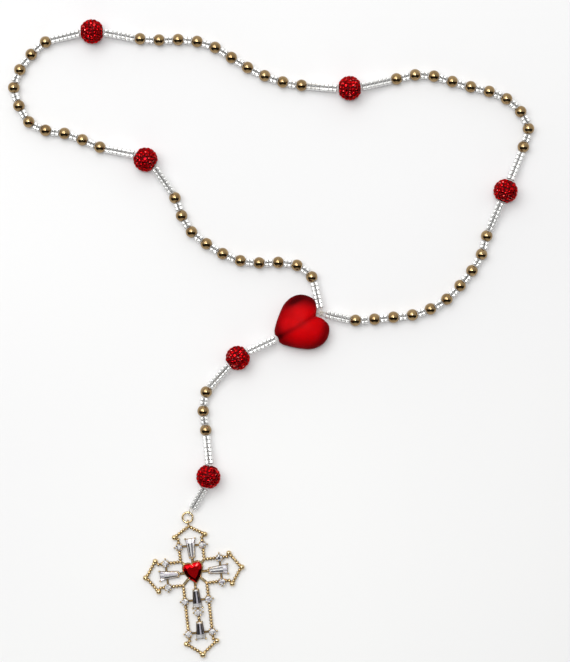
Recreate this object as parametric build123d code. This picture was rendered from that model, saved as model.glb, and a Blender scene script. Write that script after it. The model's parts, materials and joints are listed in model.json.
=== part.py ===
from build123d import *
import math
import os

# A rosary laid out flat on the surface z = 0, in millimetres. +Z is up, +Y runs from the crucifix's foot
# towards the loop, and the origin is at the middle of the whole layout, on the surface.

# beads
GOLD_RADIUS = 2.5
GOLD_BORE_RADIUS = 1.0
GOLD_MOUTH_RADIUS = 1.3
BALL_RADIUS = 5.2  # over the crystals
BALL_CORE_RADIUS = 4.8
BALL_BORE_RADIUS = 1.0
BALL_MOUTH_RADIUS = 1.8
SEED_RADIUS = 0.87
SEED_BORE_RADIUS = 0.36
SEED_CHAMFER = 0.22
SEED_GAP = 0.05
STRAND_OFFSET = 0.88  # each of the two rows of seed beads, from the line between them
THREAD_OFFSET = 0.8
THREAD_RADIUS = 0.175

# where each kind of bead bends the thread, and where the seed beads beside it start, from its centre
BEND_AT = {"gold": 1.5, "ball": 3.2}
SEEDS_FROM = {"gold": 2.47, "ball": 5.26}
THREAD_FROM = {"gold": 2.47, "ball": 5.26}  # a thread that starts beside a pivot bead, from its centre
SEEDS_CLEAR_OF_RING = 0.2
OPEN_PIVOT_CLEARANCE = 0.35

# stringing
GOLD_PER_DECADE = 10
GOLD_PITCH = 8.2
BALL_PITCH = 20.7
FIRST_PITCH = 16.2  # from the heart's cleft to the first gold bead
LAST_PITCH = 15.4  # from the last gold bead to the heart's cleft
SEEDS_BETWEEN_GOLD = 2
SEEDS_BESIDE_BALL = 7
SEEDS_AT_RING = 6
SEEDS_BESIDE_HEART = 6

# the loop's route from the heart's cleft round to it again, seen from above
LOOP_ROUTE = [
    (21.3, 11), (18.5, 27), (9.5, 33), (-10, 32.5), (-19, 35.5), (-36, 46), (-42, 64),
    (-53.5, 78.5), (-74, 82), (-86, 88), (-104, 90.5), (-111, 107), (-108, 115.5), (-98, 128),
    (-75.5, 132.5), (-53.5, 128), (-36.5, 128.5), (-26, 126.5), (-8, 115), (6, 109.5),
    (35.5, 106.5), (55.5, 112), (65.5, 114), (86, 108), (98.5, 105), (106.5, 99), (111.5, 90.5),
    (108, 81.5), (100.5, 63.5), (92.5, 44.5), (90, 34), (76.5, 17), (64, 10.5), (35, 7.5), (21.3, 11),
]
ARC_SHARE = 0.45  # of the shorter run beside a corner

# the heart bead: its tip, the way from tip to cleft, and its half outline from tip to cleft
HEART_TIP = (2.4, 0.1)
HEART_ANGLE = 30.1
HEART_LENGTH = 19.9  # tip to cleft
KNOT_OUTSIDE_CLEFT = 2.1
HEART_HEIGHT = 9.2
# its right side and right lobe, each an arc through three points (from the tip, from the middle line)
HEART_SIDE = [(0, 2.2), (6.2, 8.3), (13, 12)]
HEART_LOBE = [(13, 12), (20.4, 9), (21, 2.7)]
# each layer's height from the middle, as a share of half the thickness, and its size
HEART_LAYERS = [(-1, 0.4), (-0.86, 0.68), (-0.5, 0.92), (0, 1), (0.5, 0.92), (0.86, 0.68), (1, 0.4)]
HEART_MIDDLE = 12.5  # the point that its layers shrink about, from the tip
HEART_BORE_RADIUS = 1.1
HEART_MOUTH_RADIUS = 1.6
KNOT_RADIUS = 0.95
KNOT_CLEAR = 2.2  # the seed beads beside the knot start this far from its centre
THREAD_IN_KNOT = 0.7  # the threads end this far from the knot's centre
HEART_MOUTH_DEPTH = 2.0
HEART_CLEFT_MOUTH = 0.6  # the middle of the cleft's mouth, from the cleft

# the drop's beads and balls, from the heart's tip down
DROP_ROUTE = [
    (-14.1, -8.1, "ball"), (-27.7, -22.7, "gold"), (-29, -30.9, "gold"),
    (-27.9, -39.1, "gold"), (-26.7, -58.9, "ball"),
]
DROP_PIVOT_INSIDE_TIP = 1.0
SEEDS_OUTSIDE_TIP = 0.5
THREAD_OUTSIDE_TIP = 0.1

# jump ring
RING_RADIUS = 2.17  # to the middle of its wire
RING_WIRE_RADIUS = 0.42
RING_HEIGHT = 1.35
RING_SLIT = 0.08
RING_APPROACH = 2.0  # the thread starts its turn round the ring's wire this far from it
# the turn's corners along the thread, across it, and up, from the middle of the ring's wire
RING_TURN = [(-0.3, 0.5, 0.85), (0.95, 0.2, 0.5), (0.95, -0.2, -0.5), (-0.3, -0.5, -0.85)]

# crucifix, in its own frame: x across, y towards its eyelet, origin at its centre
CROSS_CENTRE = (-33.1, -100.3)
CROSS_TURN = 6.4
RAIL_HALF_GAP = 5.1
RAIL_WIDTH = 1.4
RAIL_HEIGHT = 1.7
ARM_TIP = 20.5
TOP_TIP = 19.9
FOOT_TIP = 35.3
SHOULDER_HALF_WIDTH = 6.6
TOP_SHOULDER = 15.8
SIDE_SHOULDER = 15.9
FOOT_SHOULDER = 30.2
CORNER_BALL_RADIUS = 1.0
EYELET_AT = 21.6
EYELET_RADIUS = 0.95
EYELET_WIRE_RADIUS = 0.33
RAIL_LEAN_IN = 1.1  # the rail bends out this far before each shoulder
SPINE_WIDTH = 1.3
SPINE_TOP = 14.0  # the bars along the arms stop under the ends of their baguettes
SPINE_FOOT = 28.0
SEAT_HEIGHT = 0.9
ROUND_STONE_SIDE = [(1.08, 0), (1.35, 0.45), (0.81, 1.15)]  # base, girdle and table: radius, height
ROUND_STONE_BASE = 2.1
ROUND_STONES = [
    (-5, 11.5), (5, 11.5), (-11.6, 5.1), (-11.6, -5.1), (11.6, 5.1), (11.6, -5.1),
    (-5, -12), (5, -12), (0, -17.25), (-5.1, -26), (5.1, -26),
]
CROSS_BARS = [11.5, -12, -26]
ARM_BARS = [-11.6, 11.6]
CUP_RADIUS = 1.55  # under a round stone
CUP_GAP = 0.1
PRONG_RADIUS = 0.32
PRONG_SPREAD = 0.3
SEAT_MARGIN = 0.4  # a baguette's seat round its stone
STONE_MARGIN = -0.05
CENTRE_SEAT_MARGIN = 0.5
CENTRE_STONE_MARGIN = -0.15
STONE_BEVEL = 0.6
BAGUETTE_INNER_WIDTH = 2.3
BAGUETTE_OUTER_WIDTH = 4.2
# name, turn of its arm from +y, distance of its narrow end and of its wide end from the centre
BAGUETTES = [
    ("baguette_top", 0, 6.6, 14.4),
    ("baguette_left", 90, 6.7, 14.4),
    ("baguette_right", -90, 6.7, 14.4),
    ("baguette_foot_upper", 180, 7.4, 15.0),
    ("baguette_foot_lower", 180, 21.4, 28.4),
]
STONE_BASE = 1.0
STONE_HEIGHT = 2.2
CENTRE_STONE_HEIGHT = 2.4
CENTRE_STONE_HALF = [(0, 3.7), (1.5, 4.25), (3.2, 4), (4.1, 2.5), (3.7, 0.3), (2, -2.6), (0, -4.5)]
CENTRE_STONE_TURN = 8

# crystals round a pave ball: rings at these angles from the hole's axis, with this many in each
CRYSTAL_RINGS = [(33, 9), (52, 14), (71, 17), (90, 18), (109, 17), (128, 14), (147, 9)]
CRYSTAL_RADIUS = 0.76
CRYSTAL_TABLE_RADIUS = 0.42
CRYSTAL_BASE = 4.83

# the stations where one length of the loop pivots on the next, counted from the heart's cleft
DECADE_STEP = GOLD_PER_DECADE + 1
PIVOTS = {
    "A2": 2, "A5": 5, "B5": DECADE_STEP + 5, "C1": 2 * DECADE_STEP + 1,
    "D1": 3 * DECADE_STEP + 1, "D4": 3 * DECADE_STEP + 4,
    "E1": 4 * DECADE_STEP + 1, "E9": 4 * DECADE_STEP + 9,
}


class Station:
    """A bead on the thread: its kind, its centre and the direction of its hole."""

    def __init__(self, kind, centre):
        self.kind = kind
        self.centre = centre
        self.axis = None

    def mouth(self, side):
        """The point on the hole's axis where the thread bends, before (-1) or after (+1) the centre."""
        return self.centre + self.axis * (side * BEND_AT[self.kind])


def resting_height(kind):
    return GOLD_RADIUS if kind == "gold" else math.hypot(BALL_RADIUS, CRYSTAL_TABLE_RADIUS)


def sideways(direction):
    """The level direction to the left of a direction."""
    return Vector(-direction.Y, direction.X, 0).normalized()


def corner_radii(points):
    """The largest radii that the straight runs between the points allow at their corners."""
    radii = []
    for before, corner, after in zip(points, points[1:], points[2:]):
        run_in, run_out = corner - before, after - corner
        half_turn = math.radians(run_in.get_angle(run_out)) / 2
        radii.append(ARC_SHARE * min(run_in.length, run_out.length) / math.tan(half_turn))
    return radii


def rounded_path(points):
    """Straight runs joined by tangent arcs."""
    radii = corner_radii(points)
    return FilletPolyline(*points, radius=radii) if radii else Line(*points)


def aim_holes(stations, before, after):
    """Turn each bead's hole to halfway between the directions to its two neighbours."""
    centres = [before] + [s.centre for s in stations] + [after]
    for n, station in enumerate(stations, 1):
        come = (centres[n] - centres[n - 1]).normalized()
        go = (centres[n + 1] - centres[n]).normalized()
        station.axis = (come + go).normalized()


def loop_stations():
    """The loop's beads, at even spacing along its route."""
    route = [Vector(x, y, 0) for x, y in LOOP_ROUTE]
    half = len(route) // 2
    first, second = rounded_path(route[:half + 2]), rounded_path(route[half:])
    # the two paths share the run between them, so each is measured to that run's middle
    middle = (route[half] + route[half + 1]) / 2
    first_length = first.length - (route[half + 1] - middle).length
    second_skip = (middle - route[half]).length
    total = first_length + second.length - second_skip

    kinds, steps = [], []
    for decade in range(5):
        for bead in range(GOLD_PER_DECADE):
            steps.append(GOLD_PITCH if bead else (BALL_PITCH if decade else FIRST_PITCH))
            kinds.append("gold")
        if decade < 4:
            steps.append(BALL_PITCH)
            kinds.append("ball")
    share = total / (sum(steps) + LAST_PITCH)
    stations, along = [], 0
    for kind, step in zip(kinds, steps):
        along += step * share
        path, at = (first, along) if along < first_length else (second, along - first_length + second_skip)
        place = path.position_at(at, position_mode=PositionMode.LENGTH)
        stations.append(Station(kind, Vector(place.X, place.Y, resting_height(kind))))
    aim_holes(stations, meeting(), meeting())
    return stations


def heart_axis():
    turn = math.radians(HEART_ANGLE)
    return Vector(math.cos(turn), math.sin(turn), 0)


def heart_tip():
    return Vector(*HEART_TIP, HEART_HEIGHT / 2)


def meeting():
    """Where the two sides of the loop meet, in the heart's cleft."""
    return heart_tip() + heart_axis() * (HEART_LENGTH + KNOT_OUTSIDE_CLEFT)


def drop_pivot():
    return heart_tip() + heart_axis() * DROP_PIVOT_INSIDE_TIP


def cross_up():
    turn = math.radians(CROSS_TURN)
    return Vector(-math.sin(turn), math.cos(turn), 0)


def eyelet_centre():
    return Vector(*CROSS_CENTRE, RING_HEIGHT) + cross_up() * EYELET_AT


def ring_centre():
    return eyelet_centre() + cross_up() * RING_RADIUS


def drop_stations():
    stations = [Station(kind, Vector(x, y, resting_height(kind))) for x, y, kind in DROP_ROUTE]
    aim_holes(stations, heart_tip(), ring_centre())
    return stations


def seeds_start(station, line_point, direction):
    """Where the seed beads start on the line through line_point, going away from the station's bead."""
    along = (line_point - station.centre).dot(direction)
    return line_point + direction * (SEEDS_FROM[station.kind] - along)


def hourglass(radius, bore, mouth):
    """The hole of a bead of that radius, narrowest at the middle, along z."""
    reach = radius * 1.2
    wide = bore + (mouth - bore) * reach / math.sqrt(radius**2 - mouth**2)
    outline = Polyline((0, -reach), (wide, -reach), (bore, 0), (wide, reach), (0, reach), close=True)
    return revolve(Plane.XZ * make_face(outline), Axis.Z)


def placed(shape, centre, direction):
    """A shape made along z, moved to a place and turned along a direction."""
    return shape.moved(Plane(origin=centre, x_dir=sideways(direction), z_dir=direction).location)


def seed_bead(length):
    tube = Cylinder(SEED_RADIUS, length)
    tube = chamfer(tube.edges().filter_by(GeomType.CIRCLE), SEED_CHAMFER)
    return tube - Cylinder(SEED_BORE_RADIUS, 2 * length)


def seed_row(start, end, count):
    """Two rows of seed beads side by side that fill the line from start to end."""
    line = end - start
    direction = line.normalized()
    step = (line.length - SEED_GAP) / count
    bead = seed_bead(step - SEED_GAP)
    beads = []
    for n in range(count):
        middle = start + direction * (SEED_GAP / 2 + step * (n + 0.5))
        for side in (-1, 1):
            beads.append(placed(bead, middle + sideways(direction) * (side * STRAND_OFFSET), direction))
    return beads


def row_between(one, other, extra=0):
    """The seed beads between two neighbouring stations, starting further from the first by extra."""
    line = other.mouth(-1) - one.mouth(1)
    direction = line.normalized()
    start = seeds_start(one, one.mouth(1), direction) + direction * extra
    end = seeds_start(other, other.mouth(-1), -direction)
    count = SEEDS_BETWEEN_GOLD if one.kind == other.kind else SEEDS_BESIDE_BALL
    return seed_row(start, end, count)


def shifted(points, directions, offset):
    """A line of points moved sideways by an offset, each across its own direction."""
    return [p + sideways(d) * offset for p, d in zip(points, directions)]


def tube(points):
    """A thread along a line of points."""
    path = rounded_path(points)
    section = Plane(origin=path @ 0, z_dir=path % 0) * Circle(THREAD_RADIUS)
    return sweep(section, path=path)


def strands(points, directions):
    return [tube(shifted(points, directions, side * THREAD_OFFSET)) for side in (-1, 1)]


def thread_line(stations, start=None, extra=0, end=None):
    """The thread's points and directions through stations. It starts at a point, or beside its first
    station, which is then a pivot bead of another body, further from it by extra. It ends at a point or in
    its last station."""
    points, directions = [], []
    rest = stations
    if start is not None:
        points.append(start)
        directions.append((stations[0].mouth(-1) - start).normalized())
    else:
        first, rest = stations[0], stations[1:]
        target = rest[0].mouth(-1) if rest else end
        direction = (target - first.mouth(1)).normalized()
        points.append(first.mouth(1) + direction * (THREAD_FROM[first.kind] + extra - BEND_AT[first.kind]))
        directions.append(direction)
    for n, station in enumerate(rest):
        points.append(station.mouth(-1))
        directions.append(station.axis)
        if n < len(rest) - 1 or end is not None:
            points.append(station.mouth(1))
            directions.append(station.axis)
        else:
            points.append(station.centre)
            directions.append(station.axis)
    if end is not None:
        directions.append((end - points[-1]).normalized())
        points.append(end)
    return points, directions


def heart_layer(size):
    """The heart's outline, shrunk about its middle."""
    middle = Vector(HEART_MIDDLE, 0)

    def shrunk(x, y):
        return middle + (Vector(x, y) - middle) * size

    groove = shrunk(HEART_LENGTH, 0)
    edges = [Line(shrunk(HEART_LOBE[-1][0], side * HEART_LOBE[-1][1]), groove) for side in (1, -1)]
    edges.append(Line(shrunk(0, -HEART_SIDE[0][1]), shrunk(*HEART_SIDE[0])))
    for side in (-1, 1):
        for arc in (HEART_SIDE, HEART_LOBE):
            edges.append(ThreePointArc(*[shrunk(x, side * y) for x, y in arc]))
    return make_face(Wire(edges))


def heart_bead():
    layers = [Pos(0, 0, height * HEART_HEIGHT / 2) * heart_layer(size) for height, size in HEART_LAYERS]
    solid = loft(layers, ruled=True)
    solid -= Rot(0, 90, 0) * Cylinder(HEART_BORE_RADIUS, 4 * HEART_LENGTH)
    mouth = Cone(HEART_MOUTH_RADIUS, HEART_BORE_RADIUS, HEART_MOUTH_DEPTH)
    solid -= Pos(HEART_MOUTH_DEPTH / 2, 0, 0) * (Rot(0, 90, 0) * mouth)
    solid -= Pos(HEART_LENGTH - HEART_CLEFT_MOUTH, 0, 0) * (Rot(0, -90, 0) * mouth)
    return solid.moved(Location(heart_tip()) * Rot(0, 0, HEART_ANGLE))


def pave_ball():
    core = Sphere(BALL_CORE_RADIUS) - hourglass(BALL_CORE_RADIUS, BALL_BORE_RADIUS, BALL_MOUTH_RADIUS)
    crystal = Cone(CRYSTAL_RADIUS, CRYSTAL_TABLE_RADIUS, BALL_RADIUS - CRYSTAL_BASE)
    crystal = Pos(0, 0, (CRYSTAL_BASE + BALL_RADIUS) / 2) * crystal
    crystals = []
    for n, (polar, count) in enumerate(CRYSTAL_RINGS):
        for k in range(count):
            crystals.append(Rot(0, 0, 360 * (k + n % 2 / 2) / count) * Rot(0, polar, 0) * crystal)
    return core, crystals


def cross_outline():
    """The middle of the crucifix's rail, right half then left half."""
    gap, lean = RAIL_HALF_GAP, RAIL_LEAN_IN
    right = [
        (0, TOP_TIP), (SHOULDER_HALF_WIDTH, TOP_SHOULDER), (gap, TOP_SHOULDER - lean), (gap, gap),
        (SIDE_SHOULDER - lean, gap), (SIDE_SHOULDER, SHOULDER_HALF_WIDTH), (ARM_TIP, 0),
        (SIDE_SHOULDER, -SHOULDER_HALF_WIDTH), (SIDE_SHOULDER - lean, -gap), (gap, -gap),
        (gap, lean - FOOT_SHOULDER), (SHOULDER_HALF_WIDTH, -FOOT_SHOULDER), (0, -FOOT_TIP),
    ]
    left = [(-x, y) for x, y in reversed(right[1:-1])]
    return Polyline(*right, *left, close=True)


def slab(x0, x1, y0, y1, height):
    return Pos((x0 + x1) / 2, (y0 + y1) / 2, height / 2) * Box(x1 - x0, y1 - y0, height)


def baguette_outline(near, far, grow):
    near_half, far_half = BAGUETTE_INNER_WIDTH / 2 + grow, BAGUETTE_OUTER_WIDTH / 2 + grow
    near, far = near - grow, far + grow
    return Polyline((-near_half, near), (near_half, near), (far_half, far), (-far_half, far), close=True)


def centre_stone_outline(grow):
    size = 1 + grow / 4
    right = [(x * size, y * size) for x, y in CENTRE_STONE_HALF]
    left = [(-x, y) for x, y in reversed(right)]
    return [Spline(*right), Spline(*left)]


def prong(x, y, height):
    post = Pos(x, y, height / 2) * Cylinder(PRONG_RADIUS, height)
    return post + Pos(x, y, height) * Sphere(PRONG_RADIUS)


def cross_frame():
    outline = make_face(cross_outline())
    rail = offset(outline, RAIL_WIDTH / 2, kind=Kind.ARC)
    rail -= offset(outline, -RAIL_WIDTH / 2, kind=Kind.INTERSECTION)
    frame = extrude(rail, RAIL_HEIGHT)
    for x, y in ((SHOULDER_HALF_WIDTH, TOP_SHOULDER), (SIDE_SHOULDER, SHOULDER_HALF_WIDTH),
                 (SIDE_SHOULDER, -SHOULDER_HALF_WIDTH), (SHOULDER_HALF_WIDTH, -FOOT_SHOULDER)):
        for side in (-1, 1):
            frame += Pos(side * x, y, CORNER_BALL_RADIUS) * Sphere(CORNER_BALL_RADIUS)
    half = SPINE_WIDTH / 2
    frame += slab(-half, half, -SPINE_FOOT, SPINE_TOP, SEAT_HEIGHT)
    frame += slab(-SPINE_TOP, SPINE_TOP, -half, half, SEAT_HEIGHT)
    for y in CROSS_BARS:
        frame += slab(-RAIL_HALF_GAP, RAIL_HALF_GAP, y - half, y + half, SEAT_HEIGHT)
    for x in ARM_BARS:
        frame += slab(x - half, x + half, -RAIL_HALF_GAP, RAIL_HALF_GAP, SEAT_HEIGHT)
    diagonal = Box(2 * RAIL_HALF_GAP * math.sqrt(2), SPINE_WIDTH, SEAT_HEIGHT)
    for turn in (45, -45):
        frame += Pos(0, 0, SEAT_HEIGHT / 2) * Rot(0, 0, turn) * diagonal
    centre_seat = extrude(make_face(centre_stone_outline(CENTRE_SEAT_MARGIN)), SEAT_HEIGHT)
    frame += Rot(0, 0, CENTRE_STONE_TURN) * centre_seat
    for _, turn, near, far in BAGUETTES:
        seat = extrude(make_face(baguette_outline(near, far, SEAT_MARGIN)), SEAT_HEIGHT)
        for side in (-1, 1):
            near_x, far_x = BAGUETTE_INNER_WIDTH / 2 + SEAT_MARGIN, BAGUETTE_OUTER_WIDTH / 2 + SEAT_MARGIN
            seat += prong(side * near_x, near - PRONG_SPREAD, STONE_HEIGHT)
            seat += prong(side * far_x, far + PRONG_SPREAD, STONE_HEIGHT)
        frame += Rot(0, 0, turn) * seat
    cup_height = ROUND_STONE_BASE - CUP_GAP
    for x, y in ROUND_STONES:
        frame += Pos(x, y, cup_height / 2) * Cylinder(CUP_RADIUS, cup_height)
    eyelet = Pos(0, EYELET_AT, RING_HEIGHT) * Rot(0, 90, 0) * Torus(EYELET_RADIUS, EYELET_WIRE_RADIUS)
    frame += eyelet
    return frame


def baguette(near, far):
    """A tapered step-cut stone, with a bevelled top."""
    body = extrude(make_face(baguette_outline(near, far, STONE_MARGIN)), STONE_HEIGHT - STONE_BASE)
    top = body.edges().group_by(Axis.Z)[-1]
    return Pos(0, 0, STONE_BASE) * chamfer(top, STONE_BEVEL)


def round_stone():
    profile = Polyline((0, 0), *ROUND_STONE_SIDE, (0, ROUND_STONE_SIDE[-1][1]), close=True)
    return revolve(Plane.XZ * make_face(profile), Axis.Z)


def centre_stone():
    body = extrude(make_face(centre_stone_outline(CENTRE_STONE_MARGIN)), CENTRE_STONE_HEIGHT - STONE_BASE)
    return Pos(0, 0, STONE_BASE) * Rot(0, 0, CENTRE_STONE_TURN) * body


def on_cross(shape):
    return shape.moved(Location(Vector(*CROSS_CENTRE, 0)) * Rot(0, 0, CROSS_TURN))


def jump_ring():
    ring = Torus(RING_RADIUS, RING_WIRE_RADIUS)
    slit = Pos(RING_RADIUS, 0, 0) * Box(3 * RING_WIRE_RADIUS, RING_SLIT, 3 * RING_WIRE_RADIUS)
    return (ring - slit).moved(Location(ring_centre()) * Rot(0, 0, CROSS_TURN))


def loop_lengths():
    """Each length of the loop that stays stiff, as (name, first station, last station). The heart's own
    length starts at the last pivot and ends at the first."""
    at = list(PIVOTS.values())
    return [(str(n), a, b) for n, (a, b) in enumerate(zip(at, at[1:]), 1)]


def ring_thread(last):
    """The thread from the last ball, round the ring's wire and back, which makes both strands."""
    to_ring = (ring_centre() - last.centre).normalized()
    wire = ring_centre() - Vector(to_ring.X, to_ring.Y, 0).normalized() * RING_RADIUS
    direction = (wire - last.mouth(1)).normalized()
    level, side = Vector(direction.X, direction.Y, 0).normalized(), sideways(direction)
    start = last.mouth(1) + direction * (THREAD_FROM["ball"] - BEND_AT["ball"])
    seeds_end = wire - direction * RING_APPROACH
    points = [start + side * THREAD_OFFSET, seeds_end + side * THREAD_OFFSET]
    points += [wire + level * u + side * v + Vector(0, 0, w) for u, v, w in RING_TURN]
    points += [seeds_end - side * THREAD_OFFSET, start - side * THREAD_OFFSET]
    print("thread at the ring: smallest radius", round(min(corner_radii(points)), 2), "mm")
    row_start = seeds_start(last, last.mouth(1), direction)
    return tube(points), seed_row(row_start, seeds_end - direction * SEEDS_CLEAR_OF_RING, SEEDS_AT_RING)


def build():
    """Every node's solids, by node name."""
    gold = Sphere(GOLD_RADIUS) - hourglass(GOLD_RADIUS, GOLD_BORE_RADIUS, GOLD_MOUTH_RADIUS)
    core, crystals = pave_ball()
    nodes = {}
    print("route: smallest radius", round(min(corner_radii([Vector(x, y, 0) for x, y in LOOP_ROUTE])), 1), "mm")

    def add(node, shapes):
        nodes.setdefault(node, []).extend(shapes)

    stations = loop_stations()

    def length_of_loop(name, first, last):
        """The beads after station first up to station last, with the rows between them."""
        part = stations[first - 1:last]
        for one, other in zip(part, part[1:]):
            add(f"seed_beads_{name}", row_between(one, other))
        for station in part[1:]:
            if station.kind == "gold":
                add(f"gold_beads_{name}", [placed(gold, station.centre, station.axis)])
        add(f"thread_{name}", strands(*thread_line(part)))

    # the heart's own length of the loop, both sides of the cleft
    a_side, e_side = stations[:PIVOTS["A2"]], stations[PIVOTS["E9"] - 1:]
    away = (a_side[0].mouth(-1) - meeting()).normalized()
    back = (meeting() - e_side[-1].mouth(1)).normalized()
    first_row_end = seeds_start(a_side[0], a_side[0].mouth(-1), -away)
    last_row_start = seeds_start(e_side[-1], e_side[-1].mouth(1), back)
    add("seed_beads_heart", seed_row(meeting() + away * KNOT_CLEAR, first_row_end, SEEDS_BESIDE_HEART))
    add("seed_beads_heart", seed_row(last_row_start, meeting() - back * KNOT_CLEAR, SEEDS_BESIDE_HEART))
    add("seed_beads_heart", row_between(*a_side))
    add("seed_beads_heart", row_between(*e_side, extra=OPEN_PIVOT_CLEARANCE))
    add("gold_beads_heart", [placed(gold, s.centre, s.axis) for s in a_side + e_side[1:]])
    add("thread_heart", strands(*thread_line(a_side, start=meeting() + away * THREAD_IN_KNOT)))
    knot_end = meeting() - back * THREAD_IN_KNOT
    add("thread_heart", strands(*thread_line(e_side, extra=OPEN_PIVOT_CLEARANCE, end=knot_end)))
    bore = [meeting() - heart_axis() * THREAD_IN_KNOT, drop_pivot()]
    add("thread_heart", strands(bore, [heart_axis(), heart_axis()]))
    add("heart_bead", [heart_bead()])
    add("closing_knot", [Sphere(KNOT_RADIUS).moved(Location(meeting()))])

    for name, first, last in loop_lengths():
        length_of_loop(name, first, last)
    balls = [s for s in stations if s.kind == "ball"]

    # the drop
    drop = drop_stations()
    balls += [drop[0], drop[-1]]
    out = (drop[0].mouth(-1) - drop_pivot()).normalized()
    upper_start = drop_pivot() + out * (DROP_PIVOT_INSIDE_TIP + SEEDS_OUTSIDE_TIP)
    upper_end = seeds_start(drop[0], drop[0].mouth(-1), -out)
    add("seed_beads_drop_upper", seed_row(upper_start, upper_end, SEEDS_BESIDE_BALL))
    thread_start = drop_pivot() + out * (DROP_PIVOT_INSIDE_TIP + THREAD_OUTSIDE_TIP)
    add("thread_drop_upper", strands(*thread_line(drop[:1], start=thread_start)))
    for one, other in zip(drop, drop[1:]):
        add("seed_beads_drop_middle", row_between(one, other))
    add("gold_beads_drop", [placed(gold, s.centre, s.axis) for s in drop[1:-1]])
    add("thread_drop_middle", strands(*thread_line(drop)))
    lower_thread, lower_seeds = ring_thread(drop[-1])
    add("seed_beads_drop_lower", lower_seeds)
    add("thread_drop_lower", [lower_thread])

    for n, ball in enumerate(balls, 1):
        add(f"pave_ball_{n}", [placed(core, ball.centre, ball.axis)])
        add(f"pave_crystals_{n}", [placed(c, ball.centre, ball.axis) for c in crystals])

    add("jump_ring", [jump_ring()])
    add("cross_frame", [on_cross(cross_frame())])
    add("cross_centre_crystal", [on_cross(centre_stone())])
    for name, turn, near, far in BAGUETTES:
        add(name, [on_cross(Rot(0, 0, turn) * baguette(near, far))])
    stone = round_stone()
    add("cross_round_crystals", [on_cross(Pos(x, y, ROUND_STONE_BASE) * stone) for x, y in ROUND_STONES])
    return nodes


def write_parts():
    os.makedirs("parts", exist_ok=True)
    for node, shapes in build().items():
        export_step(Compound(children=list(shapes)), f"parts/{node}.step")


if __name__ == "__main__":
    write_parts()
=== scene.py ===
import json
import math
import random

import bmesh
import bpy
import numpy as np
from mathutils import Matrix, Vector


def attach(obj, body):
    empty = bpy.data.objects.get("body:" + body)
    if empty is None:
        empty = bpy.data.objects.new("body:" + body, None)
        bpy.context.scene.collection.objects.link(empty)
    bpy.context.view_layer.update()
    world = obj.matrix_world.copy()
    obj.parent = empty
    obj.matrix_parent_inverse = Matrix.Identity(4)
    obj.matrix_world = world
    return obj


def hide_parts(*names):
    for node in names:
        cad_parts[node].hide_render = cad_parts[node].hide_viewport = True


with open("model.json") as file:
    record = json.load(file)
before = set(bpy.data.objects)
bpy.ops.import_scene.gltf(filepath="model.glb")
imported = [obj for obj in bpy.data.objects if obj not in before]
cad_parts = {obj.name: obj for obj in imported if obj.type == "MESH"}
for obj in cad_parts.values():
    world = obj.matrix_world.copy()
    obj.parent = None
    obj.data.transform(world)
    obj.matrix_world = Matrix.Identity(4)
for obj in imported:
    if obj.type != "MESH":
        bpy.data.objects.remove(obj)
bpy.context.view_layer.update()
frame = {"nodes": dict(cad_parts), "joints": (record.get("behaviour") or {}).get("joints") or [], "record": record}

MM = 0.001
CORD_LENGTH = 0.031  # the length lay_thread measures a thread against; every thread is a plain tube
FLOOR_GAP = 0.00005

# ---------------------------------------------------------------- sizes, in millimetres
GOLD_RADIUS = 2.5
GOLD_BORE = 1.0
GOLD_MOUTH = 1.3
SEED_RADIUS = 0.87
SEED_BORE = 0.36
SEED_ROUNDING = 0.3
STRAND_OFFSET = 0.88
BALL_RADIUS = 5.2
CLAY_RADIUS = 4.98
BALL_MOUTH = 1.75
CRYSTAL_RADIUS = 0.82
CRYSTAL_BASE = 4.72
THREAD_RADIUS = 0.175
THREAD_OFFSET = 0.8
THREAD_ROWS = [("left", THREAD_OFFSET * MM), ("right", -THREAD_OFFSET * MM)]
PAST_PIVOT_BEAD = 2.5
PAST_BALL = 5.26
HEART_TIP = (2.4, 0.1)
HEART_ANGLE = 30.1
HEART_LENGTH = 19.9
HEART_HEIGHT = 9.2
HEART_MIDDLE = 12.5
CROSS_CENTRE = (-33.1, -100.3)
CROSS_TURN = 6.4

# ---------------------------------------------------------------- camera
CAMERA_AIM = (6.1, 3.4)
CAMERA_HEIGHT = 900
FIELD_HEIGHT = 284.7


def make_camera():
    """Looks straight down on the rosary from well above it."""
    data = bpy.data.cameras.new("camera")
    camera = bpy.data.objects.new("camera", data)
    bpy.context.scene.collection.objects.link(camera)
    data.sensor_fit = "VERTICAL"
    data.angle_y = 2 * math.atan(FIELD_HEIGHT / 2 / CAMERA_HEIGHT)
    data.clip_start = 0.01
    camera.location = Vector((*CAMERA_AIM, CAMERA_HEIGHT)) * MM
    bpy.context.scene.camera = camera


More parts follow.
